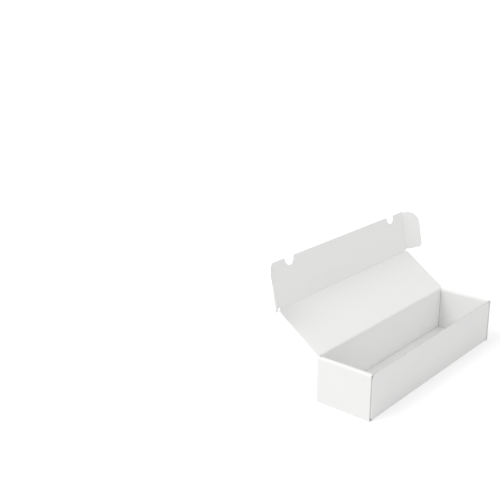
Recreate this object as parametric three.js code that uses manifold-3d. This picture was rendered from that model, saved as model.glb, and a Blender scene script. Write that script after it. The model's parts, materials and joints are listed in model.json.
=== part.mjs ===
// Corrugated card storage box with a hinged lid.
// The real box is folded from one die-cut sheet of white corrugated board. Each panel
// between two creases is its own mesh here. +X runs along the box, the front faces -Y and
// the lid is hinged at the back. The origin is the centre of the underside.
import * as THREE from 'three';
import { mergeVertices } from 'three/addons/utils/BufferGeometryUtils.js';
import Module from 'manifold-3d';

const wasm = await Module();
wasm.setup();

// Driving dimensions in millimetres
const BOX_LENGTH = 414;
const BOX_WIDTH = 102;
const BOX_HEIGHT = 80;
const BOARD = 1.8;

// Clearances
const LAY_GAP = 0.3;         // between two boards that lie on each other
const CREASE_GAP = 0.3;      // between a rounded fold and the edge that turns about it
const FLAP_GAP = 0.4;        // between the closed front flap and the front wall
const FLOOR_GAP = 2;         // from the closed front flap down to the floor

// Rest pose in degrees: how far the lid is open, and how far the flaps are folded in
const LID_OPEN = 145;
const FLAP_FOLD = 44;
const EAR_FOLD = 34;

// Lid, front flap and ears
const LID_INSET = 1;
const LID_CORNER_RADIUS = 6;
const NOTCH_WIDTH = 24.5;
const NOTCH_DEPTH = 14.5;
const NOTCH_LIP_RADIUS = 2;
const NOTCH_FROM_END = 48;
const EAR_WIDTH = 35;
const EAR_NOSE_FLAT = 6.8;
const EAR_HEEL_RADIUS = 6;

// Walls, corner flaps and locking tabs
const WALL_CORNER_RADIUS = 4;
const CORNER_FLAPS_APART = 8;
const CORNER_FLAP_SLOPE = 8;
const CORNER_FLAP_RADIUS = 5;
const TAB_WIDTH = 24;
const TAB_TAPER = 2;
const TAB_SPACING = 48;
const TAB_END_GAP = 0.4;
const TAB_SIDE_GAP = 0.5;

// Finish and fineness
const WHITE_LINER = 0xf4f4f3;
const BOARD_ROUGHNESS = 0.85;
const ARC_STEP = Math.PI / 16;
const SAME_POINT = 1e-6;
const OVERRUN = 5;

// Levels through the double-walled ends, measured in from the outer face
const EAR_SLOT = BOARD + 2 * LAY_GAP;
const CORNER_OUTER = BOARD + EAR_SLOT;
const CORNER_INNER = CORNER_OUTER + BOARD;
const INNER_WALL_OUTER = CORNER_INNER + LAY_GAP;
const INNER_WALL_INNER = INNER_WALL_OUTER + BOARD;

const HALF_LENGTH = BOX_LENGTH / 2;
const HALF_WIDTH = BOX_WIDTH / 2;
const HALF_BOARD = BOARD / 2;
const CREASE_REACH = HALF_BOARD + CREASE_GAP;
const INSIDE_HALF_WIDTH = HALF_WIDTH - BOARD;
const END_WALL_HALF_WIDTH = INSIDE_HALF_WIDTH - LAY_GAP;
const UNDER_ROLL = BOX_HEIGHT - BOARD;

// Fold lines of the moving panels
const LID_AXIS_Y = HALF_WIDTH - HALF_BOARD;
const LID_AXIS_Z = BOX_HEIGHT + LAY_GAP + HALF_BOARD;
const LID_DEPTH = LID_AXIS_Y + HALF_WIDTH + FLAP_GAP + HALF_BOARD;
const FLAP_DEPTH = LID_AXIS_Z - FLOOR_GAP;
const EAR_AXIS_X = HALF_LENGTH - BOARD - LAY_GAP - HALF_BOARD;
const EAR_START = LID_AXIS_Z - UNDER_ROLL + LAY_GAP;
const EAR_END = LID_AXIS_Z - BOARD - LAY_GAP;

const X = new THREE.Vector3(1, 0, 0);
const Y = new THREE.Vector3(0, 1, 0);
const Z = new THREE.Vector3(0, 0, 1);

function corner(x, y, radius = 0) {
  return { at: new THREE.Vector2(x, y), radius };
}

// Points of a closed outline whose corners are rounded by their own radii
function outline(corners) {
  const points = [];
  const add = (point) => {
    const last = points[points.length - 1];
    if (!last || last.distanceTo(point) > SAME_POINT) points.push(point);
  };
  corners.forEach(({ at, radius }, index) => {
    const before = corners[(index + corners.length - 1) % corners.length].at.clone().sub(at).normalize();
    const after = corners[(index + 1) % corners.length].at.clone().sub(at).normalize();
    if (radius === 0) {
      add(at);
      return;
    }
    const half = Math.acos(before.dot(after)) / 2;
    const inward = before.clone().add(after).normalize();
    const centre = at.clone().addScaledVector(inward, radius / Math.sin(half));
    const start = at.clone().addScaledVector(before, radius / Math.tan(half)).sub(centre);
    const end = at.clone().addScaledVector(after, radius / Math.tan(half)).sub(centre);
    const turn = Math.atan2(start.cross(end), start.dot(end));
    const steps = Math.ceil(Math.abs(turn) / ARC_STEP);
    for (let step = 0; step <= steps; step += 1) {
      const spoke = start.clone().rotateAround(new THREE.Vector2(), (turn * step) / steps);
      add(centre.clone().add(spoke));
    }
  });
  if (points[0].distanceTo(points[points.length - 1]) < SAME_POINT) points.pop();
  return points;
}

// Prism of an outline drawn in the plane of two axes, from one level to another
function prism(corners, across, up, from, to) {
  const shape = new THREE.Shape(outline(corners));
  const along = new THREE.Vector3().crossVectors(across, up);
  const forward = along.x + along.y + along.z > 0;
  const start = forward ? Math.min(from, to) : -Math.max(from, to);
  const solid = new THREE.ExtrudeGeometry(shape, { depth: Math.abs(to - from), bevelEnabled: false });
  solid.applyMatrix4(new THREE.Matrix4().makeBasis(across, up, along));
  solid.translate(along.x * start, along.y * start, along.z * start);
  return solid;
}

function toSolid(geometry) {
  const bare = geometry.clone();
  bare.deleteAttribute('normal');
  bare.deleteAttribute('uv');
  const merged = mergeVertices(bare);
  return new wasm.Manifold(new wasm.Mesh({
    numProp: 3,
    vertProperties: new Float32Array(merged.attributes.position.array),
    triVerts: new Uint32Array(merged.index.array),
  }));
}

function toGeometry(solid) {
  const mesh = solid.getMesh();
  const geometry = new THREE.BufferGeometry();
  geometry.setAttribute('position', new THREE.BufferAttribute(mesh.vertProperties, mesh.numProp));
  geometry.setIndex(new THREE.BufferAttribute(mesh.triVerts, 1));
  geometry.computeVertexNormals();
  return geometry;
}

// The part that two prisms share: a folded section cut to its die-cut outline
function cutTo(section, blank) {
  return toGeometry(toSolid(section).intersect(toSolid(blank)));
}

function panel(name, geometry) {
  const material = new THREE.MeshStandardMaterial({
    color: WHITE_LINER,
    roughness: BOARD_ROUGHNESS,
    metalness: 0,
  });
  const mesh = new THREE.Mesh(geometry, material);
  mesh.name = name;
  return mesh;
}

// Bottom panel, slotted at both ends for the locking tabs
function bottomPanel() {
  const reach = HALF_LENGTH - BOARD;
  let plate = toSolid(prism([
    corner(-reach, -INSIDE_HALF_WIDTH),
    corner(reach, -INSIDE_HALF_WIDTH),
    corner(reach, INSIDE_HALF_WIDTH),
    corner(-reach, INSIDE_HALF_WIDTH),
  ], X, Y, 0, BOARD));
  for (const side of [-1, 1]) {
    for (const place of [-1, 1]) {
      const outer = side * (HALF_LENGTH - INNER_WALL_OUTER + TAB_SIDE_GAP);
      const inner = side * (HALF_LENGTH - INNER_WALL_INNER - TAB_SIDE_GAP);
      const middle = (place * TAB_SPACING) / 2;
      const half = TAB_WIDTH / 2 + TAB_SIDE_GAP;
      plate = plate.subtract(toSolid(prism([
        corner(outer, middle - half),
        corner(outer, middle + half),
        corner(inner, middle + half),
        corner(inner, middle - half),
      ], X, Y, -OVERRUN, BOARD + OVERRUN)));
    }
  }
  return toGeometry(plate);
}

// Front wall, rounded under its bottom crease and at its two free top corners
function frontWall() {
  const reach = HALF_LENGTH - CORNER_INNER;
  const section = prism([
    corner(-HALF_WIDTH, 0, BOARD),
    corner(-INSIDE_HALF_WIDTH, 0),
    corner(-INSIDE_HALF_WIDTH, BOX_HEIGHT),
    corner(-HALF_WIDTH, BOX_HEIGHT),
  ], Y, Z, -reach, reach);
  const blank = prism([
    corner(-reach, 0),
    corner(reach, 0),
    corner(reach, BOX_HEIGHT, WALL_CORNER_RADIUS),
    corner(-reach, BOX_HEIGHT, WALL_CORNER_RADIUS),
  ], X, Z, -HALF_WIDTH - OVERRUN, -INSIDE_HALF_WIDTH + OVERRUN);
  return cutTo(section, blank);
}

// Back wall, which ends above in the round fold that carries the lid
function backWall() {
  const reach = HALF_LENGTH - CORNER_INNER;
  const top = LID_AXIS_Z + HALF_BOARD;
  return prism([
    corner(INSIDE_HALF_WIDTH, 0),
    corner(HALF_WIDTH, 0, BOARD),
    corner(HALF_WIDTH, top, HALF_BOARD),
    corner(INSIDE_HALF_WIDTH, top, HALF_BOARD),
  ], Y, Z, -reach, reach);
}

// Corner flap: it wraps round the corner of a long wall and lies inside the double end
function cornerFlap(end, wall) {
  const low = BOARD + LAY_GAP;
  const high = UNDER_ROLL - LAY_GAP;
  const free = CORNER_FLAPS_APART / 2;
  const outer = end * (HALF_LENGTH - CORNER_OUTER);
  const inner = end * (HALF_LENGTH - CORNER_INNER);
  const section = prism([
    corner(outer, wall * HALF_WIDTH, BOARD),
    corner(inner, wall * HALF_WIDTH),
    corner(inner, wall * free),
    corner(outer, wall * free),
  ], X, Y, low, high);
  const blank = prism([
    corner(wall * HALF_WIDTH, low),
    corner(wall * INSIDE_HALF_WIDTH, low),
    corner(wall * free, low + CORNER_FLAP_SLOPE, CORNER_FLAP_RADIUS),
    corner(wall * free, high - CORNER_FLAP_SLOPE, CORNER_FLAP_RADIUS),
    corner(wall * INSIDE_HALF_WIDTH, high),
    corner(wall * HALF_WIDTH, high),
  ], Y, Z, outer + end * OVERRUN, inner - end * OVERRUN);
  return cutTo(section, blank);
}

// Outer panel of a double end, rounded under its bottom crease
function endOuter(end) {
  const outer = end * HALF_LENGTH;
  const inner = end * (HALF_LENGTH - BOARD);
  return prism([
    corner(outer, 0, BOARD),
    corner(inner, 0),
    corner(inner, UNDER_ROLL),
    corner(outer, UNDER_ROLL),
  ], X, Z, -HALF_WIDTH, HALF_WIDTH);
}

// Strip between the two creases of the roll-over, on top of a double end
function endRoll(end) {
  const outer = end * HALF_LENGTH;
  const inner = end * (HALF_LENGTH - INNER_WALL_INNER);
  const step = end * (HALF_LENGTH - CORNER_INNER + LAY_GAP);
  const section = prism([
    corner(outer, UNDER_ROLL),
    corner(outer, BOX_HEIGHT, BOARD),
    corner(inner, BOX_HEIGHT, BOARD),
    corner(inner, UNDER_ROLL),
  ], X, Z, -HALF_WIDTH, HALF_WIDTH);
  const blank = prism([
    corner(outer, -HALF_WIDTH),
    corner(step, -HALF_WIDTH),
    corner(step, -END_WALL_HALF_WIDTH),
    corner(inner, -END_WALL_HALF_WIDTH),
    corner(inner, END_WALL_HALF_WIDTH),
    corner(step, END_WALL_HALF_WIDTH),
    corner(step, HALF_WIDTH),
    corner(outer, HALF_WIDTH),
  ], X, Y, UNDER_ROLL - OVERRUN, BOX_HEIGHT + OVERRUN);
  return cutTo(section, blank);
}

// Inner panel of a double end, held down by two tabs in the slots of the bottom
function endInner(end) {
  const lower = [];
  for (const place of [-1, 1]) {
    const middle = (place * TAB_SPACING) / 2;
    const half = TAB_WIDTH / 2;
    lower.push(
      corner(middle - half, BOARD),
      corner(middle - half + TAB_TAPER, TAB_END_GAP),
      corner(middle + half - TAB_TAPER, TAB_END_GAP),
      corner(middle + half, BOARD),
    );
  }
  return prism([
    corner(-END_WALL_HALF_WIDTH, BOARD),
    ...lower,
    corner(END_WALL_HALF_WIDTH, BOARD),
    corner(END_WALL_HALF_WIDTH, UNDER_ROLL),
    corner(-END_WALL_HALF_WIDTH, UNDER_ROLL),
  ], Y, Z, end * (HALF_LENGTH - INNER_WALL_OUTER), end * (HALF_LENGTH - INNER_WALL_INNER));
}

// Lid panel from its hinge fold to the round fold that carries the front flap
function lidPanel() {
  const reach = HALF_LENGTH - LID_INSET;
  const front = LID_DEPTH + HALF_BOARD;
  const section = prism([
    corner(CREASE_REACH, -HALF_BOARD),
    corner(front, -HALF_BOARD, HALF_BOARD),
    corner(front, HALF_BOARD, HALF_BOARD),
    corner(CREASE_REACH, HALF_BOARD),
  ], Y, Z, -reach, reach);
  const blank = prism([
    corner(-reach, CREASE_REACH),
    corner(reach, CREASE_REACH),
    corner(reach, front, LID_CORNER_RADIUS),
    corner(-reach, front, LID_CORNER_RADIUS),
  ], X, Y, -HALF_BOARD - OVERRUN, HALF_BOARD + OVERRUN);
  return cutTo(section, blank);
}

// Front flap with two finger notches, and a round fold at each end for its ears
function frontFlap() {
  const reach = EAR_AXIS_X + HALF_BOARD;
  const section = prism([
    corner(-reach, -HALF_BOARD, HALF_BOARD),
    corner(reach, -HALF_BOARD, HALF_BOARD),
    corner(reach, HALF_BOARD, HALF_BOARD),
    corner(-reach, HALF_BOARD, HALF_BOARD),
  ], X, Z, CREASE_REACH, FLAP_DEPTH);
  const freeEdge = [];
  for (const side of [1, -1]) {
    const middle = side * (HALF_LENGTH - NOTCH_FROM_END);
    const half = NOTCH_WIDTH / 2;
    const bottom = FLAP_DEPTH - NOTCH_DEPTH;
    const bowl = Math.min(half, NOTCH_DEPTH - NOTCH_LIP_RADIUS);
    freeEdge.push(
      corner(middle + half, FLAP_DEPTH, NOTCH_LIP_RADIUS),
      corner(middle + half, bottom, bowl),
      corner(middle - half, bottom, bowl),
      corner(middle - half, FLAP_DEPTH, NOTCH_LIP_RADIUS),
    );
  }
  const blank = prism([
    corner(-reach, CREASE_REACH),
    corner(reach, CREASE_REACH),
    corner(reach, FLAP_DEPTH),
    ...freeEdge,
    corner(-reach, FLAP_DEPTH),
  ], X, Y, -HALF_BOARD - OVERRUN, HALF_BOARD + OVERRUN);
  return cutTo(section, blank);
}

// Ear at one end of the front flap, with a broad round nose towards the flap's free edge
function ear(side) {
  const nose = Math.min(EAR_WIDTH - CREASE_REACH - EAR_NOSE_FLAT, EAR_END - EAR_START - EAR_HEEL_RADIUS);
  return prism([
    corner(side * CREASE_REACH, EAR_START),
    corner(side * EAR_WIDTH, EAR_START, EAR_HEEL_RADIUS),
    corner(side * EAR_WIDTH, EAR_END, nose),
    corner(side * CREASE_REACH, EAR_END),
  ], X, Y, -HALF_BOARD, HALF_BOARD);
}

const box = new THREE.Group();
box.add(panel('bottom_panel', bottomPanel()));
box.add(panel('front_wall', frontWall()));
box.add(panel('back_wall', backWall()));
for (const [side, end] of [['left', -1], ['right', 1]]) {
  box.add(panel(`${side}_end_outer_panel`, endOuter(end)));
  box.add(panel(`${side}_end_roll_over`, endRoll(end)));
  box.add(panel(`${side}_end_inner_panel`, endInner(end)));
  box.add(panel(`${side}_front_corner_flap`, cornerFlap(end, -1)));
  box.add(panel(`${side}_back_corner_flap`, cornerFlap(end, 1)));
}

const lid = new THREE.Group();
lid.position.set(0, LID_AXIS_Y, LID_AXIS_Z);
lid.rotation.x = THREE.MathUtils.degToRad(180 - LID_OPEN);
lid.add(panel('lid_panel', lidPanel()));
box.add(lid);

const flap = new THREE.Group();
flap.position.y = LID_DEPTH;
flap.rotation.x = THREE.MathUtils.degToRad(FLAP_FOLD);
flap.add(panel('lid_front_flap', frontFlap()));
lid.add(flap);

for (const [name, side] of [['left_ear', -1], ['right_ear', 1]]) {
  const fold = new THREE.Group();
  fold.position.x = side * EAR_AXIS_X;
  fold.rotation.y = -side * THREE.MathUtils.degToRad(EAR_FOLD);
  fold.add(panel(name, ear(side)));
  flap.add(fold);
}

export default box;
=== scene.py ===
import json
import math

import bmesh
import bpy
from mathutils import Matrix, Vector


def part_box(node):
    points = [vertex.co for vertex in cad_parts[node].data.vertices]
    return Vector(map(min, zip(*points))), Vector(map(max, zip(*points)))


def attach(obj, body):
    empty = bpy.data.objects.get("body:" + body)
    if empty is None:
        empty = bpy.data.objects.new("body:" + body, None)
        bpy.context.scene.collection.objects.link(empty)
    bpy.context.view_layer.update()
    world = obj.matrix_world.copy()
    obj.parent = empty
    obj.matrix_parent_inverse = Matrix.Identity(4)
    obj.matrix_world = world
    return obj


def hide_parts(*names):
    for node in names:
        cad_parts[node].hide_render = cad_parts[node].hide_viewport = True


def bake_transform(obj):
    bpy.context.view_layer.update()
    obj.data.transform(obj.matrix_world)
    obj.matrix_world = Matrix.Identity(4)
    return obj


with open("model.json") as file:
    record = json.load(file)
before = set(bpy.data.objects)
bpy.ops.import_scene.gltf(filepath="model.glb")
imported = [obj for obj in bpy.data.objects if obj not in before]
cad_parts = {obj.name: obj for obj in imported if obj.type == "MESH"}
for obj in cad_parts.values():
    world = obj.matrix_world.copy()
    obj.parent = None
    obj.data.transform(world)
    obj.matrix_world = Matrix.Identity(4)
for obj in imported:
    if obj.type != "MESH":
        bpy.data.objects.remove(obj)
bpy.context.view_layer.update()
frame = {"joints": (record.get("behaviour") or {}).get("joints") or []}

# Camera
# A long lens looks along the box from its left front corner and a little down on it, from
# about a metre and a half away.
camera_place = Vector((-1.2185, -0.6683, 0.6679))
camera_turn = math.radians(49.55)
camera_dip = math.radians(18.18)
bpy.ops.object.camera_add(location=camera_place, rotation=(math.pi / 2 - camera_dip, 0, -camera_turn))
camera = bpy.context.object
camera.name = "camera"
camera.data.sensor_width = 36
camera.data.lens = 60.73
bpy.context.scene.camera = camera

# Floor and light
# A white table and a white room, with one soft lamp high at the back left. The camera sees
# the table as white as the room, more so further off, where the lamp doesn't reach.
floor_size = 60
floor_white = (0.9, 0.9, 0.9, 1)
lift_near = 0.23
lift_far = 0.34
lift_start = 0.3
lift_end = 2.2


def add_node(tree, kind, **inputs):
    """A new node with some inputs set. An underscore stands for the space in an input's name."""
    node = tree.nodes.new(kind)
    for name, value in inputs.items():
        node.inputs[name.replace("_", " ")].default_value = value
    return node


def add_math(tree, operation, first, second):
    """What a Math node makes of two terms, each of them a number or another node's output."""
    node = tree.nodes.new("ShaderNodeMath")
    node.operation = operation
    for socket, value in zip(node.inputs, (first, second)):
        if isinstance(value, bpy.types.NodeSocket):
            tree.links.new(value, socket)
        else:
            socket.default_value = value
    return node.outputs["Value"]


bpy.ops.mesh.primitive_plane_add(size=floor_size, location=(0, 0, 0))
floor = bpy.context.object
floor.name = "floor"

floor_finish = bpy.data.materials.new("floor_white")
floor_finish.use_nodes = True
tree = floor_finish.node_tree
surface = tree.nodes["Principled BSDF"]
surface.inputs["Base Color"].default_value = floor_white
surface.inputs["Roughness"].default_value = 0.9
surface.inputs["Specular IOR Level"].default_value = 0.2
surface.inputs["Emission Color"].default_value = (1, 1, 1, 1)
place = tree.nodes.new("ShaderNodeTexCoord")
distance = tree.nodes.new("ShaderNodeVectorMath")
distance.operation = "LENGTH"
lift = add_node(tree, "ShaderNodeMapRange", From_Min=lift_start, From_Max=lift_end,
                To_Min=lift_near, To_Max=lift_far)
lift.interpolation_type = "SMOOTHSTEP"
rays = tree.nodes.new("ShaderNodeLightPath")
tree.links.new(place.outputs["Object"], distance.inputs[0])
tree.links.new(distance.outputs["Value"], lift.inputs["Value"])
seen_lift = add_math(tree, "MULTIPLY", lift.outputs["Result"], rays.outputs["Is Camera Ray"])
tree.links.new(seen_lift, surface.inputs["Emission Strength"])
floor.data.materials.append(floor_finish)

room_strength = 0.79
room = bpy.data.worlds.new("white_room")
bpy.context.scene.world = room
room.use_nodes = True
tree = room.node_tree
lit = tree.nodes["Background"]
lit.inputs["Color"].default_value = (1, 1, 1, 1)
lit.inputs["Strength"].default_value = room_strength
seen = add_node(tree, "ShaderNodeBackground", Color=(1, 1, 1, 1), Strength=1)
rays = tree.nodes.new("ShaderNodeLightPath")
any_glossy = add_math(
    tree, "MAXIMUM", rays.outputs["Is Glossy Ray"], rays.outputs["Is Transmission Ray"])
any_seen = add_math(tree, "MAXIMUM", rays.outputs["Is Camera Ray"], any_glossy)
choose = tree.nodes.new("ShaderNodeMixShader")
tree.links.new(any_seen, choose.inputs["Fac"])
tree.links.new(lit.outputs["Background"], choose.inputs[1])
tree.links.new(seen.outputs["Background"], choose.inputs[2])
tree.links.new(choose.outputs["Shader"], tree.nodes["World Output"].inputs["Surface"])

lamp_place = Vector((-1.6, 1.0, 2.4))
lamp_aim = Vector((0, 0, 0.08))
lamp_size = 1.6
lamp_power = 32.5
bpy.ops.object.light_add(type="AREA", location=lamp_place)
lamp = bpy.context.object
lamp.name = "back_left_lamp"
lamp.data.shape = "SQUARE"
lamp.data.size = lamp_size
lamp.data.energy = lamp_power
lamp.rotation_euler = (lamp_aim - lamp_place).to_track_quat("-Z", "Y").to_euler()

# Bottom panel
# The whole box is one die-cut sheet of corrugated board, two bleached paper liners with a
# fluted paper glued between them, folded and locked without glue. The flutes run across the
# box. Two slots at each end of the bottom take the tabs of the inner end panels.
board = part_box("bottom_panel")[1].z
half_board = board / 2
half_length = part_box("right_end_outer_panel")[1].x
half_width = -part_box("front_wall")[0].y
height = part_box("front_wall")[1].z
liner_thick = 0.00022
flute_thick = 0.00014
flute_height = 0.00056
flute_pitch = 0.0034
flute_steps = 8
edge_pinch = 0.00026
edge_band = 0.00055
pinch_start = 1.5 * edge_band
shortest_pinched = 4 * edge_band
end_recess = 0.00015
arc_step = 0.001
least_arc_steps = 4
same_place = 0.00001
same_column = 0.1 / flute_steps
smooth_angle = math.radians(50)


def pick(piece, test):
    """Selects the points of a piece in edit mode whose place passes the test."""
    bpy.ops.mesh.select_mode(type="VERT")
    shape = bmesh.from_edit_mesh(piece.data)
    for face in shape.faces:
        face.select = False
    for edge in shape.edges:
        edge.select = False
    for point in shape.verts:
        point.select = test(point.co)
    shape.select_flush(True)
    bmesh.update_edit_mesh(piece.data)


def let_go():
    """Leaves edit mode, with nothing selected."""
    if bpy.context.object and bpy.context.object.mode == "EDIT":
        bpy.ops.object.mode_set(mode="OBJECT")
    bpy.ops.object.select_all(action="DESELECT")


def hold(piece):
    """Makes one piece the active and only selected one, out of edit mode."""
    let_go()
    piece.select_set(True)
    bpy.context.view_layer.objects.active = piece


def copy_of(piece):
    """A duplicate of a piece, which is then the active one."""
    hold(piece)
    bpy.ops.object.duplicate()
    return bpy.context.object


def thicken(piece, thickness, offset, papers=()):
    """Gives a flat piece its thickness. papers: materials of its faces and of its cut edge."""
    hold(piece)
    piece.data.materials.clear()
    for paper_here in papers:
        piece.data.materials.append(paper_here)
    wall = piece.modifiers.new("thickness", "SOLIDIFY")
    wall.thickness = thickness
    wall.offset = offset
    wall.material_offset_rim = len(papers) - 1
    bpy.ops.object.modifier_apply(modifier=wall.name)


def trim(piece, tool, operation):
    """Cuts a piece with a second one, which stays as it was."""
    hold(piece)
    cut = piece.modifiers.new("cut", "BOOLEAN")
    cut.operation = operation
    cut.solver = "EXACT"
    cut.object = tool
    bpy.ops.object.modifier_apply(modifier=cut.name)


def die_cut(corners):
    """A flat outline with corners (x, y, radius)."""
    let_go()
    bpy.ops.mesh.primitive_circle_add(
        vertices=len(corners), fill_type="NGON", calc_uvs=False, enter_editmode=True)
    outline = bpy.context.object
    shape = bmesh.from_edit_mesh(outline.data)
    for point, (x, y, _) in zip(shape.verts, corners):
        point.co = (x, y, 0)
    bmesh.update_edit_mesh(outline.data)
    for radius in sorted({corner[2] for corner in corners if corner[2] > 0}):
        rounded = [Vector((x, y, 0)) for x, y, r in corners if r == radius]
        pick(outline, lambda at: any((at - place).length < same_place for place in rounded))
        steps = max(least_arc_steps, round(radius / arc_step))
        bpy.ops.mesh.bevel(offset=radius, segments=steps, affect="VERTICES")
    bpy.ops.mesh.select_all(action="SELECT")
    bpy.ops.mesh.remove_doubles(threshold=same_place)
    bpy.ops.mesh.normals_make_consistent(inside=False)
    shape = bmesh.from_edit_mesh(outline.data)
    if shape.faces[:][0].normal.z < 0:
        bpy.ops.mesh.flip_normals()
    bpy.ops.object.mode_set(mode="OBJECT")
    return outline


def liner(outline, side, is_fold):
    """One paper liner: its die-cut edge is pinched towards the fluting, but not at a fold."""
    sheet = copy_of(outline)
    bpy.ops.object.mode_set(mode="EDIT")
    if side < 0:
        bpy.ops.mesh.select_all(action="SELECT")
        bpy.ops.mesh.flip_normals()
    rim = [point.co.copy() for point in bmesh.from_edit_mesh(sheet.data).verts]
    if not all(is_fold(place) for place in rim):
        bpy.ops.mesh.select_all(action="SELECT")
        bpy.ops.mesh.inset(thickness=edge_band, depth=0, use_even_offset=True)
    pick(sheet, lambda at: not is_fold(at) and any((at - place).length < same_place for place in rim))
    bpy.ops.transform.translate(value=(0, 0, -side * edge_pinch))
    bpy.ops.mesh.select_all(action="SELECT")
    bpy.ops.transform.translate(value=(0, 0, side * half_board))
    bpy.ops.object.mode_set(mode="OBJECT")
    thicken(sheet, liner_thick, -1, (outer_liner if side > 0 else inner_liner, cut_paper))
    return sheet


def flutes_between(low_x, high_x):
    """How many whole flutes fit between two places, and their pitch there."""
    count = max(1, round((high_x - low_x) / flute_pitch))
    return count, (high_x - low_x) / count


def one_flute(start, pitch, low_y, high_y, rows):
    """One wave of the fluted paper, from one inner crest to the next, in edit mode."""
    let_go()
    bpy.ops.mesh.primitive_grid_add(
        x_subdivisions=flute_steps, y_subdivisions=rows, size=1, calc_uvs=False, enter_editmode=True)
    wave = bpy.context.object
    for step in range(flute_steps + 1):
        share = step / flute_steps
        pick(wave, lambda at: abs(at.x - (share - 0.5)) < same_column)
        bpy.ops.transform.translate(value=(0, 0, -flute_height * math.cos(math.tau * share)))
    bpy.ops.mesh.select_all(action="SELECT")
    bpy.ops.transform.resize(value=(pitch, high_y - low_y, 1), center_override=(0, 0, 0))
    bpy.ops.transform.translate(value=(start + pitch / 2, (low_y + high_y) / 2, 0))
    return wave


def side_by_side(wave, pitch, count):
    """Repeats one flute along x, each joined to the next."""
    hold(wave)
    repeat = wave.modifiers.new("flutes", "ARRAY")
    repeat.count = count
    repeat.use_relative_offset = False
    repeat.use_constant_offset = True
    repeat.constant_offset_displace = (pitch, 0, 0)
    repeat.use_merge_vertices = True
    repeat.merge_threshold = same_place
    bpy.ops.object.modifier_apply(modifier=repeat.name)


def fluting(low, high):
    """The fluted paper between the liners. At both ends the last flute is crushed by the die
    into a small wall between the liners."""
    count, pitch = flutes_between(low.x, high.x)
    wave = one_flute(low.x, pitch, low.y, high.y, 1)
    side_by_side(wave, pitch, count)
    bpy.ops.object.mode_set(mode="EDIT")
    for end, inward in ((low.x, 1), (high.x, -1)):
        pick(wave, lambda at: abs(at.x - end) < pitch / flute_steps / 4)
        bpy.ops.transform.translate(value=(inward * end_recess, 0, 0))
        bpy.ops.mesh.extrude_edges_move(TRANSFORM_OT_translate={"value": (0, 0, 2 * flute_height)})
    bpy.ops.object.mode_set(mode="OBJECT")
    thicken(wave, flute_thick, 0, (white_fluting, cut_paper))
    bpy.ops.object.shade_smooth_by_angle(angle=smooth_angle)
    return wave


def into_place(piece, origin, along, out):
    """Lays a piece made flat on its place: its y runs along, its z points out of the box."""
    hold(piece)
    across = Vector(along).cross(Vector(out))
    turn = Matrix((across, along, out)).transposed().to_4x4()
    piece.matrix_world = Matrix.Translation(Vector(origin)) @ turn
    bpy.ops.object.transform_apply(location=True, rotation=True, scale=True)


def map_flutes(piece, low, pitch):
    """The piece's own map: x counts flutes, y is the way along them in metres."""
    sheet_map = piece.data.uv_layers.new(name="flutes")
    points = piece.data.vertices
    for corner in piece.data.loops:
        at = points[corner.vertex_index].co
        sheet_map.data[corner.index].uv = ((at.x - low) / pitch, at.y)


def with_pinch_starts(corners, is_fold):
    """Adds a point on each cut edge, a little way from where it leaves a fold."""
    points = []
    for (ax, ay, radius), (bx, by, _) in zip(corners, corners[1:] + corners[:1]):
        points.append((ax, ay, radius))
        a, b = Vector((ax, ay, 0)), Vector((bx, by, 0))
        if is_fold((a + b) / 2) or (b - a).length < shortest_pinched:
            continue
        step = (b - a).normalized() * pinch_start
        if is_fold(a):
            points.append((*(a + step).xy, 0))
        if is_fold(b):
            points.append((*(b - step).xy, 0))
    return points


def panel(name, corners, origin, along, out, is_fold, slots=()):
    """A panel of board, cut flat to its corners, then laid in place. is_fold tells which of its
    edges are creases."""
    outline = die_cut(with_pinch_starts(corners, is_fold))
    low = Vector((min(c[0] for c in corners), min(c[1] for c in corners), 0))
    high = Vector((max(c[0] for c in corners), max(c[1] for c in corners), 0))
    outer = liner(outline, 1, is_fold)
    inner = liner(outline, -1, is_fold)
    core = fluting(low, high)
    thicken(outline, 2 * (flute_height + flute_thick), 0)
    for slot_corners in slots:
        tool = die_cut(slot_corners)
        thicken(tool, 2 * board, 0)
        for layer in (outer, inner, outline):
            trim(layer, tool, "DIFFERENCE")
        bpy.data.objects.remove(tool)
    if len(corners) > 4 or slots:
        trim(core, outline, "INTERSECT")
    bpy.data.objects.remove(outline)
    hold(outer)
    inner.select_set(True)
    core.select_set(True)
    bpy.ops.object.join()
    outer.name = name
    outer.data.name = name
    map_flutes(outer, low.x, flutes_between(low.x, high.x)[1])
    into_place(outer, origin, along, out)
    return outer


fold_reach = 0.0026
end_fold_x = half_length - half_board
wall_fold_y = half_width - half_board
flap_level = (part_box("right_front_corner_flap")[0].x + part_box("right_front_corner_flap")[1].x) / 2
wall_x = flap_level - fold_reach
corner_relief = 0.0008
bottom_fold_x = wall_x + corner_relief
wall_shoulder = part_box("front_wall")[1].x
tab_half = (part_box("right_end_inner_panel")[1].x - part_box("right_end_inner_panel")[0].x) / 2
inner_wall_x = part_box("right_end_inner_panel")[0].x + tab_half
inside_half_width = half_width - board

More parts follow.
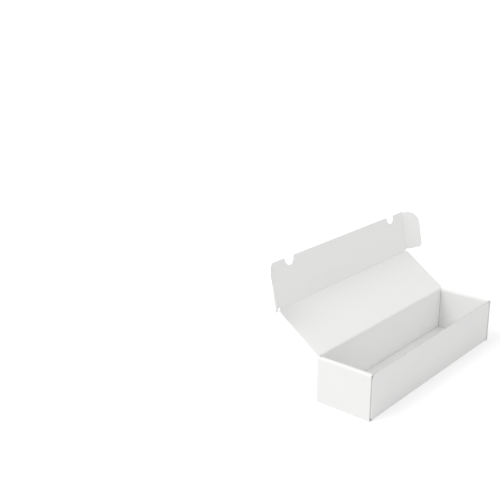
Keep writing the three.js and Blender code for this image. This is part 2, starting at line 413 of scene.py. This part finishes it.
# Paper: clouds of denser fibres, and fine fibres lying mostly one way.
cloud_scale = 38
cloud_share = 0.6
speck_scale = 520
fibre_scale = (900, 3600, 2600)
fibre_share = 0.7
paper = bpy.data.node_groups.new("paper", "ShaderNodeTree")
paper.interface.new_socket("Place", in_out="INPUT", socket_type="NodeSocketVector")
paper.interface.new_socket("Cloud", in_out="OUTPUT", socket_type="NodeSocketFloat")
paper.interface.new_socket("Fibre", in_out="OUTPUT", socket_type="NodeSocketFloat")
given = paper.nodes.new("NodeGroupInput")
result = paper.nodes.new("NodeGroupOutput")
wide = add_node(paper, "ShaderNodeTexNoise", Scale=cloud_scale, Detail=3, Roughness=0.55)
small = add_node(paper, "ShaderNodeTexNoise", Scale=speck_scale, Detail=4, Roughness=0.6)
stretch = add_node(paper, "ShaderNodeMapping", Scale=fibre_scale)
hair = add_node(paper, "ShaderNodeTexNoise", Scale=1, Detail=3, Roughness=0.65, Distortion=0.8)
paper.links.new(given.outputs["Place"], wide.inputs["Vector"])
paper.links.new(given.outputs["Place"], small.inputs["Vector"])
paper.links.new(given.outputs["Place"], stretch.inputs["Vector"])
paper.links.new(stretch.outputs["Vector"], hair.inputs["Vector"])
clouds = add_math(paper, "ADD", add_math(paper, "MULTIPLY", wide.outputs["Fac"], cloud_share),
                  add_math(paper, "MULTIPLY", small.outputs["Fac"], 1 - cloud_share))
paper.links.new(clouds, result.inputs["Cloud"])
fibres = add_math(paper, "ADD", add_math(paper, "MULTIPLY", hair.outputs["Fac"], fibre_share),
                  add_math(paper, "MULTIPLY", small.outputs["Fac"], 1 - fibre_share))
paper.links.new(fibres, result.inputs["Fibre"])

# Flute print: where the fluting is glued, the liner sinks a little between its crests.
flute_print = bpy.data.node_groups.new("flute_print", "ShaderNodeTree")
flute_print.interface.new_socket("Sheet", in_out="INPUT", socket_type="NodeSocketVector")
flute_print.interface.new_socket("Crest", in_out="OUTPUT", socket_type="NodeSocketFloat")
given = flute_print.nodes.new("NodeGroupInput")
result = flute_print.nodes.new("NodeGroupOutput")
apart = flute_print.nodes.new("ShaderNodeSeparateXYZ")
flute_print.links.new(given.outputs["Sheet"], apart.inputs["Vector"])
turn = add_math(flute_print, "MULTIPLY", apart.outputs["X"], math.tau)
wave_value = add_math(flute_print, "COSINE", turn, 0)
half_wave = add_math(flute_print, "MULTIPLY", wave_value, 0.5)
uneven = add_node(flute_print, "ShaderNodeTexNoise", Scale=14, Detail=2)
flute_print.links.new(given.outputs["Sheet"], uneven.inputs["Vector"])
crest = add_math(flute_print, "MULTIPLY", half_wave, uneven.outputs["Fac"])
flute_print.links.new(add_math(flute_print, "ADD", crest, 0.5), result.inputs["Crest"])

# Crease: a line along the fold, broken up by short wrinkles across it. It gives the crease its relief,
# and its tone: a painted highlight on outer creases and painted shade on inner ones.
crease_core_width = 0.0003
crease_fade_width = 0.0018
wrinkle_scale = (1.9, 420, 1)
crease = bpy.data.node_groups.new("crease", "ShaderNodeTree")
crease.interface.new_socket("Sheet", in_out="INPUT", socket_type="NodeSocketVector")
crease.interface.new_socket("Relief and light", in_out="OUTPUT", socket_type="NodeSocketFloat")
given = crease.nodes.new("NodeGroupInput")
result = crease.nodes.new("NodeGroupOutput")
apart = crease.nodes.new("ShaderNodeSeparateXYZ")
crease.links.new(given.outputs["Sheet"], apart.inputs["Vector"])
from_line = add_math(crease, "ABSOLUTE", apart.outputs["Y"], 0)
beside = add_node(crease, "ShaderNodeMapRange", From_Min=crease_core_width, From_Max=crease_fade_width,
                  To_Min=1, To_Max=0)
beside.interpolation_type = "SMOOTHSTEP"
crease.links.new(from_line, beside.inputs["Value"])
short = add_node(crease, "ShaderNodeMapping", Scale=wrinkle_scale)
pleat = add_node(crease, "ShaderNodeTexNoise", Scale=1, Detail=3, Roughness=0.6)
crease.links.new(given.outputs["Sheet"], short.inputs["Vector"])
crease.links.new(short.outputs["Vector"], pleat.inputs["Vector"])
crease_relief_and_light = add_math(crease, "MULTIPLY", beside.outputs["Result"], pleat.outputs["Fac"])
crease.links.new(crease_relief_and_light, result.inputs["Relief and light"])


def paper_finish(name, light, dark, rough_low, rough_high, fibre_depth, print_depth=0, crease_light_shade=0):
    """White paper: its tone follows the clouds, its relief the fibres, flutes and creases. Its crease
    setting: 1 paints a highlight along the creases, -1 paints shade along them, and 0 has no creases."""
    finish = bpy.data.materials.new(name)
    finish.use_nodes = True
    tree = finish.node_tree
    body = tree.nodes["Principled BSDF"]
    body.inputs["Specular IOR Level"].default_value = 0.3
    place = tree.nodes.new("ShaderNodeTexCoord")
    sheet = tree.nodes.new("ShaderNodeUVMap")
    sheet.uv_map = "flutes"
    fibres = tree.nodes.new("ShaderNodeGroup")
    fibres.node_tree = paper
    tree.links.new(place.outputs["Object"], fibres.inputs["Place"])
    printed = tree.nodes.new("ShaderNodeGroup")
    printed.node_tree = flute_print
    tree.links.new(sheet.outputs["UV"], printed.inputs["Sheet"])
    tone = tree.nodes.new("ShaderNodeMix")
    tone.data_type = "RGBA"
    tone.inputs["A"].default_value = dark
    tone.inputs["B"].default_value = light
    rough = add_node(tree, "ShaderNodeMapRange", To_Min=rough_low, To_Max=rough_high)
    tree.links.new(fibres.outputs["Fibre"], rough.inputs["Value"])
    tree.links.new(rough.outputs["Result"], body.inputs["Roughness"])
    relief = add_node(tree, "ShaderNodeBump", Strength=1, Distance=fibre_depth)
    tree.links.new(fibres.outputs["Fibre"], relief.inputs["Height"])
    washboard = add_node(tree, "ShaderNodeBump", Strength=1, Distance=print_depth)
    tree.links.new(printed.outputs["Crest"], washboard.inputs["Height"])
    tree.links.new(relief.outputs["Normal"], washboard.inputs["Normal"])
    last = washboard
    share = fibres.outputs["Cloud"]
    if crease_light_shade:
        crease_marks = tree.nodes.new("ShaderNodeGroup")
        crease_marks.node_tree = crease
        tree.links.new(sheet.outputs["UV"], crease_marks.inputs["Sheet"])
        pleats = add_node(tree, "ShaderNodeBump", Strength=1, Distance=crease_depth)
        tree.links.new(crease_marks.outputs["Relief and light"], pleats.inputs["Height"])
        tree.links.new(last.outputs["Normal"], pleats.inputs["Normal"])
        last = pleats
        # Along the crease the tone is pushed lighter for a setting of 1, a painted highlight, and darker
        # for -1, painted shade.
        crease_light_shade_share = add_math(tree, "MULTIPLY", crease_marks.outputs["Relief and light"], crease_light_shade)
        share = add_math(tree, "ADD", share, crease_light_shade_share)
    tree.links.new(share, tone.inputs["Factor"])
    tree.links.new(tone.outputs["Result"], body.inputs["Base Color"])
    tree.links.new(last.outputs["Normal"], body.inputs["Normal"])
    return finish


crease_depth = 0.00003
flute_print_depth = 0.000012
outer_light = (0.860, 0.860, 0.855, 1)
outer_dark = (0.832, 0.832, 0.826, 1)
# The light tone of the outer folds is lighter than the flat liner's: a painted highlight along the
# rounded outer edges.
painted_crease_highlight = (0.905, 0.905, 0.900, 1)
inner_light = (0.915, 0.915, 0.909, 1)
inner_dark = (0.889, 0.889, 0.882, 1)
raw_light = (0.890, 0.888, 0.880, 1)
fluting_dark = (0.850, 0.846, 0.835, 1)
cut_dark = (0.830, 0.826, 0.815, 1)
outer_liner = paper_finish(
    "outer_liner", outer_light, outer_dark, rough_low=0.58, rough_high=0.74,
    fibre_depth=0.000005, print_depth=flute_print_depth)
inner_liner = paper_finish(
    "inner_liner", inner_light, inner_dark, rough_low=0.66, rough_high=0.82,
    fibre_depth=0.000007, print_depth=flute_print_depth)
# Outer folds: a painted highlight, lighter over the whole fold and most along the crease line.
creased_outer_painted_highlight = paper_finish(
    "creased_outer_painted_highlight", painted_crease_highlight, outer_dark, rough_low=0.60, rough_high=0.76,
    fibre_depth=0.000005, crease_light_shade=1)
# Inner folds: painted shade, darker along the crease line.
creased_inner_painted_shade = paper_finish(
    "creased_inner_painted_shade", inner_light, inner_dark, rough_low=0.68, rough_high=0.84,
    fibre_depth=0.000007, crease_light_shade=-1)
white_fluting = paper_finish(
    "white_fluting", raw_light, fluting_dark, rough_low=0.75, rough_high=0.90, fibre_depth=0.00001)
cut_paper = paper_finish(
    "cut_paper", raw_light, cut_dark, rough_low=0.85, rough_high=0.95, fibre_depth=0.00003)

tab_width = 0.024
tab_spacing = 0.048
tab_side_gap = 0.0005
bottom_x = end_fold_x - fold_reach
bottom_y = wall_fold_y - fold_reach
bottom_corners = []
for sx, sy in ((1, 1), (-1, 1), (-1, -1), (1, -1)):
    steps = [
        (sx * bottom_x, sy * inside_half_width, 0),
        (sx * bottom_fold_x, sy * inside_half_width, 0),
        (sx * bottom_fold_x, sy * bottom_y, 0),
    ]
    bottom_corners += steps if sx == sy else steps[::-1]
slots = []
for side in (-1, 1):
    for place in (-1, 1):
        x = side * inner_wall_x
        y = place * tab_spacing / 2
        dx = tab_half + tab_side_gap
        dy = tab_width / 2 + tab_side_gap
        slots.append([(x - dx, y - dy, 0), (x + dx, y - dy, 0), (x + dx, y + dy, 0), (x - dx, y + dy, 0)])
bottom = panel(
    "bottom", bottom_corners, (0, 0, half_board), (0, -1, 0), (0, 0, -1),
    lambda at: abs(abs(at.y) - bottom_y) < same_place or abs(abs(at.x) - bottom_x) < same_place, slots)
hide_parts("bottom_panel")
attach(bottom, "box")

# Front wall
# A panel of the same board, with its flutes upright. Its top edge is cut, with two rounded
# corners. It stands on the fold along the bottom, and a corner flap folds in at each end.
fold_crush = 0.00037
fold_rows = 10
fold_turn = 0.0018
row_gap = 2 * fold_reach / fold_rows
row_places = [row_gap * row - fold_reach for row in range(fold_rows + 1)]
wall_low = half_board + fold_reach
shoulder_drop = 0.006
fold_top = height - shoulder_drop
wall_corner = 0.004


def half_thickness(s):
    """Half the board's thickness at s from the fold line, where the crease has crushed it."""
    share = min(1, abs(s) / fold_turn)
    return half_board - fold_crush * (1 - share ** 2) ** 1.5


def turn_share(s):
    """The share of the bend that is made by s, from 0 before the fold to 1 after it."""
    share = min(1, max(0, (s + fold_turn) / (2 * fold_turn)))
    return share * share * (3 - 2 * share)


def fold_strip(low_x, high_x):
    """A flat strip of paper across a fold line, in edit mode, with a row at each row place."""
    let_go()
    bpy.ops.mesh.primitive_grid_add(
        x_subdivisions=flutes_between(low_x, high_x)[0], y_subdivisions=fold_rows, size=1,
        calc_uvs=False, enter_editmode=True)
    strip = bpy.context.object
    bpy.ops.mesh.select_all(action="SELECT")
    bpy.ops.transform.resize(value=(high_x - low_x, 2 * fold_reach, 1), center_override=(0, 0, 0))
    bpy.ops.transform.translate(value=((low_x + high_x) / 2, 0, 0))
    return strip


def pick_row(strip, s):
    pick(strip, lambda at: abs(at.y - s) < row_gap / 4)


def turn_rows(strip, bend):
    """Turns each row of a strip about the fold line, from nothing to the full bend."""
    rows = {}
    for point in strip.data.vertices:
        rows.setdefault(round((point.co.y + fold_reach) / row_gap), set()).add(point.index)
    hold(strip)
    bpy.ops.object.mode_set(mode="EDIT")
    bpy.ops.mesh.select_mode(type="VERT")
    for row, points in sorted(rows.items()):
        share = turn_share(row_places[row])
        if share == 0:
            continue
        bpy.ops.mesh.select_all(action="DESELECT")
        shape = bmesh.from_edit_mesh(strip.data)
        for point in shape.verts:
            point.select = point.index in points
        shape.select_flush(True)
        bmesh.update_edit_mesh(strip.data)
        bpy.ops.transform.rotate(
            value=math.radians(bend) * share, orient_axis="X", orient_type="GLOBAL",
            center_override=(0, 0, 0))
    bpy.ops.object.mode_set(mode="OBJECT")


def fold(name, low_x, high_x, bend, origin, along, out, flutes_cross=True):
    """The creased board between two panels: both liners and the crushed fluting go round it.
    flutes_cross tells that the flutes run across the fold, and not along it."""
    count, pitch = flutes_between(low_x, high_x) if flutes_cross else (1, flute_pitch)
    layers = []
    for side, paper_here in ((1, creased_outer_painted_highlight), (-1, creased_inner_painted_shade)):
        strip = fold_strip(low_x, high_x)
        for s in row_places:
            pick_row(strip, s)
            bpy.ops.transform.translate(value=(0, 0, side * half_thickness(s)))
        if side < 0:
            bpy.ops.mesh.select_all(action="SELECT")
            bpy.ops.mesh.flip_normals()
        bpy.ops.object.mode_set(mode="OBJECT")
        map_flutes(strip, low_x, pitch)
        turn_rows(strip, bend)
        thicken(strip, liner_thick, -1, (paper_here, cut_paper))
        layers.append(strip)
    if flutes_cross:
        wave = one_flute(low_x, pitch, -fold_reach, fold_reach, fold_rows)
    else:
        wave = fold_strip(low_x, high_x)
    for s in row_places:
        pick_row(wave, s)
        room = half_thickness(s) - half_board + flute_height
        if flutes_cross:
            bpy.ops.transform.resize(value=(1, 1, room / flute_height), center_override=(0, 0, 0))
        else:
            bpy.ops.transform.translate(value=(0, 0, room * math.cos(math.tau * s / flute_pitch)))
    bpy.ops.object.mode_set(mode="OBJECT")
    map_flutes(wave, low_x, pitch)
    turn_rows(wave, bend)
    if flutes_cross:
        side_by_side(wave, pitch, count)
    thicken(wave, flute_thick, 0, (white_fluting, cut_paper))
    layers.append(wave)
    hold(layers[0])
    for layer in layers[1:]:
        layer.select_set(True)
    bpy.ops.object.join()
    piece = layers[0]
    piece.name = name
    piece.data.name = name
    bpy.ops.object.shade_smooth_by_angle(angle=smooth_angle)
    into_place(piece, origin, along, out)
    return piece


X, Y, Z = Vector((1, 0, 0)), Vector((0, 1, 0)), Vector((0, 0, 1))
wall_corners = [
    (wall_x, wall_low, 0), (wall_x, fold_top, 0), (wall_shoulder, fold_top, 0),
    (wall_shoulder, height, wall_corner), (-wall_shoulder, height, wall_corner),
    (-wall_shoulder, fold_top, 0), (-wall_x, fold_top, 0), (-wall_x, wall_low, 0)]


def on_wall_fold(at):
    side_fold = abs(abs(at.x) - wall_x) < same_place and at.y < fold_top + same_place
    return at.y < wall_low + same_place or side_fold


front = panel("front", wall_corners, (0, -wall_fold_y, 0), Z, -Y, on_wall_fold)
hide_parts("front_wall")
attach(front, "box")
front_fold = fold("front_bottom_fold", -bottom_fold_x, bottom_fold_x, 90,
                  (0, -wall_fold_y, half_board), -Y, -Z)
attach(front_fold, "box")

# Back wall
# A panel of the same board, as high as the front wall. Its top isn't cut, but runs into the
# fold that carries the lid.
lid_joint, flap_joint, left_joint, right_joint = [
    next(j for j in frame["joints"] if j["name"] == name)
    for name in ("lid_hinge", "front_flap_hinge", "left_ear_hinge", "right_ear_hinge")]
lid_axis = Vector(lid_joint["pos_m"])
flap_axis = Vector(flap_joint["pos_m"])
back_top = lid_axis.z - fold_reach
back_corners = [
    (wall_x, wall_low, 0), (wall_x, fold_top, 0), (wall_shoulder, fold_top, 0),
    (wall_shoulder, back_top, 0), (-wall_shoulder, back_top, 0),
    (-wall_shoulder, fold_top, 0), (-wall_x, fold_top, 0), (-wall_x, wall_low, 0)]
back = panel("back", back_corners, (0, wall_fold_y, 0), Z, Y,
             lambda at: on_wall_fold(at) or at.y > back_top - same_place)
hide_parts("back_wall")
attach(back, "box")
back_fold = fold("back_bottom_fold", -bottom_fold_x, bottom_fold_x, 90,
                 (0, wall_fold_y, half_board), Y, -Z)
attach(back_fold, "box")

# Ends
# Each end is double: the outer panel rolls over at the top into an inner panel, whose two
# tabs snap into the slots of the bottom. Its flutes run from front to back.
roll_low = height - half_board - fold_reach
roll_x = (end_fold_x + inner_wall_x) / 2
roll_half = (end_fold_x - inner_wall_x) / 2 - fold_reach
inner_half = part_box("right_end_inner_panel")[1].y
tab_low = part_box("right_end_inner_panel")[0].z
tab_taper = 0.002
for name, side in (("left", -1), ("right", 1)):
    outer_corners = [
        (wall_low, -half_width, 0), (roll_low, -half_width, 0),
        (roll_low, half_width, 0), (wall_low, half_width, 0)]
    outer_end = panel(
        f"{name}_end_outer", outer_corners, (side * end_fold_x, 0, 0), -side * Y, side * X,
        lambda at: at.x < wall_low + same_place or at.x > roll_low - same_place)
    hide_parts(f"{name}_end_outer_panel")
    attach(outer_end, "box")
    lower_fold = fold(f"{name}_end_bottom_fold", -half_width, half_width, 90,
                      (side * end_fold_x, 0, half_board), side * X, -Z, flutes_cross=False)
    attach(lower_fold, "box")

    roll_corners = [(-roll_half, -half_width, 0), (roll_half, -half_width, 0),
                    (roll_half, half_width, 0), (-roll_half, half_width, 0)]
    # This strip is too narrow for its cut ends to be pinched, so all its edges count as folds.
    roll = panel(f"{name}_end_roll", roll_corners, (side * roll_x, 0, height - half_board), Y, Z,
                 lambda at: True)
    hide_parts(f"{name}_end_roll_over")
    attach(roll, "box")
    outer_roll = fold(f"{name}_end_outer_roll_fold", -half_width, half_width, 90,
                      (side * end_fold_x, 0, height - half_board), Z, side * X,
                      flutes_cross=False)
    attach(outer_roll, "box")
    inner_roll = fold(f"{name}_end_inner_roll_fold", -inner_half, inner_half, 90,
                      (side * inner_wall_x, 0, height - half_board), -side * X, Z,
                      flutes_cross=False)
    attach(inner_roll, "box")

    inner_corners = [(board, -inner_half, 0)]
    for place in (-1, 1):
        middle = place * tab_spacing / 2
        half = tab_width / 2
        inner_corners += [(board, middle - half, 0), (tab_low, middle - half + tab_taper, 0),
                          (tab_low, middle + half - tab_taper, 0), (board, middle + half, 0)]
    inner_corners += [(board, inner_half, 0), (roll_low, inner_half, 0), (roll_low, -inner_half, 0)]
    inner_end = panel(
        f"{name}_end_inner", inner_corners, (side * inner_wall_x, 0, 0), side * Y, -side * X,
        lambda at: at.x > roll_low - same_place)
    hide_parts(f"{name}_end_inner_panel")
    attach(inner_end, "box")

# Corner flaps
# A short flap of the same board at each end of each long wall. It folds in behind the ear
# slot, and the inner end panel holds it there.
flap_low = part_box("left_front_corner_flap")[0].z
flap_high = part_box("left_front_corner_flap")[1].z
flap_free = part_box("left_back_corner_flap")[0].y
flap_slope = 0.008
flap_radius = 0.005
near = wall_fold_y - fold_reach
for name, side in (("left", -1), ("right", 1)):
    for wall, facing in (("front", -1), ("back", 1)):
        turned = facing * side
        flap_corners = [
            (turned * near, flap_low, 0), (turned * flap_free, flap_low + flap_slope, flap_radius),
            (turned * flap_free, flap_high - flap_slope, flap_radius), (turned * near, flap_high, 0)]
        corner_flap = panel(f"{name}_{wall}_flap", flap_corners, (side * flap_level, 0, 0), Z, side * X,
                            lambda at: abs(abs(at.x) - near) < same_place)
        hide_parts(f"{name}_{wall}_corner_flap")
        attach(corner_flap, "box")
        start, stop = (wall_low, fold_top) if turned > 0 else (-fold_top, -wall_low)
        corner_fold = fold(f"{name}_{wall}_fold", start, stop, 90,
                           (side * flap_level, facing * wall_fold_y, 0), side * X, facing * Y,
                           flutes_cross=False)
        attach(corner_fold, "box")

# Lid
# One flat panel of the same board between two long folds, the back one of which is its
# hinge. Its ends are cut, and reach over the rolled ends of the box.
lid_along = (flap_axis - lid_axis).normalized()
lid_depth = (flap_axis - lid_axis).length
lid_out = lid_along.cross(X)
lid_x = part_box("lid_panel")[1].x
lay_gap = 0.0003
fold_gap = half_board + lay_gap
hinge_relief = 0.0004
lid_fold_x = wall_shoulder - hinge_relief
flap_fold_x = 0.199
hinge_corner = 0.002
lid_corner = 0.006
lid_corners = []
for sx in (1, -1):
    half_of_it = [
        (sx * lid_fold_x, fold_reach, 0), (sx * lid_fold_x, fold_gap, 0),
        (sx * lid_x, fold_gap, hinge_corner), (sx * lid_x, lid_depth, lid_corner),
        (sx * flap_fold_x, lid_depth, 0), (sx * flap_fold_x, lid_depth - fold_reach, 0)]
    lid_corners += half_of_it if sx > 0 else half_of_it[::-1]


def on_lid_fold(at):
    at_hinge = abs(at.y - fold_reach) < same_place and abs(at.x) < lid_fold_x + same_place
    at_flap = abs(at.y - lid_depth + fold_reach) < same_place and abs(at.x) < flap_fold_x + same_place
    return at_hinge or at_flap


lid = panel("lid", lid_corners, lid_axis, lid_along, lid_out, on_lid_fold)
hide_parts("lid_panel")
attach(lid, "lid")
lid_bend = -math.degrees(math.asin(lid_along.y))
lid_fold = fold("lid_fold", -lid_fold_x, lid_fold_x, lid_bend, lid_axis, Z, Y)
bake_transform(lid_fold)

# Front flap
# A panel of the same board, folded down from the lid, that closes outside the front wall.
# Two half-round finger notches are cut in its free edge.
flap_along = Vector(right_joint["axis"])
flap_along = -flap_along if flap_along.z < 0 else flap_along
flap_out = flap_along.cross(X)
ear_fold_x = abs(right_joint["pos_m"][0])
flap_x = ear_fold_x + half_board
floor_gap = 0.002
flap_depth = lid_axis.z - floor_gap
flap_tip_radius = 0.0008
ear_start = lid_axis.z - height + board + lay_gap
ear_start_relief = 0.0011
ear_end_relief = 0.0016
ear_fold_start = ear_start + ear_start_relief
ear_fold_end = flap_depth - ear_end_relief
notch_half = 0.01225
notch_depth = 0.0145
notch_lip = 0.002
notch_x = 0.159
flap_corners = []
for sx in (1, -1):
    half_of_it = [
        (sx * flap_fold_x, fold_reach, 0), (sx * flap_x, fold_reach, 0), (sx * flap_x, ear_fold_start, 0),
        (sx * (ear_fold_x - fold_reach), ear_fold_start, 0),
        (sx * (ear_fold_x - fold_reach), ear_fold_end, 0),
        (sx * flap_x, ear_fold_end, 0), (sx * flap_x, flap_depth, flap_tip_radius),
        (sx * (notch_x + notch_half), flap_depth, notch_lip),
        (sx * (notch_x + notch_half), flap_depth - notch_depth, notch_half),
        (sx * (notch_x - notch_half), flap_depth - notch_depth, notch_half),
        (sx * (notch_x - notch_half), flap_depth, notch_lip)]
    flap_corners += half_of_it if sx > 0 else half_of_it[::-1]


def on_flap_fold(at):
    at_lid = abs(at.y - fold_reach) < same_place and abs(at.x) < flap_fold_x + same_place
    at_ear = abs(abs(at.x) - ear_fold_x + fold_reach) < same_place
    return at_lid or at_ear


front_flap = panel("front_flap_board", flap_corners, flap_axis, flap_along, flap_out, on_flap_fold)
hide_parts("lid_front_flap")
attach(front_flap, "front_flap")
flap_bend = math.degrees(math.acos(lid_along.dot(flap_along)))
flap_fold = fold("front_flap_fold", -flap_fold_x, flap_fold_x, flap_bend, flap_axis, lid_along, lid_out)
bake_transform(flap_fold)

# Ears
# A small panel of the same board, folded back from each end of the front flap. It slides
# into the slot between the layers of the double end and holds the lid shut.
ear_bend = 34
ear_width = 0.035
ear_relief = 0.004
ear_heel = 0.006
ear_nose = 0.027
tilt = math.radians(ear_bend)
for name, side, joint in (("left", -1, left_joint), ("right", 1, right_joint)):
    axis_point = Vector(joint["pos_m"])
    ear_out = math.sin(tilt) * side * X + math.cos(tilt) * flap_out
    ear_corners = [
        (-side * fold_reach, ear_fold_start, 0), (-side * (fold_reach + ear_relief), ear_start, 0),
        (-side * ear_width, ear_start, ear_heel), (-side * ear_width, ear_fold_end, ear_nose),
        (-side * fold_reach, ear_fold_end, 0)]
    ear = panel(f"{name}_ear_board", ear_corners, axis_point, flap_along, ear_out,
                lambda at: abs(abs(at.x) - fold_reach) < same_place)
    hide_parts(f"{name}_ear")
    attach(ear, f"{name}_ear")
    start, stop = (ear_fold_start, ear_fold_end) if side > 0 else (-ear_fold_end, -ear_fold_start)
    ear_fold = fold(f"{name}_ear_fold", start, stop, ear_bend, axis_point, side * X, flap_out,
                    flutes_cross=False)
    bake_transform(ear_fold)

bpy.context.scene.view_settings.view_transform = "Standard"
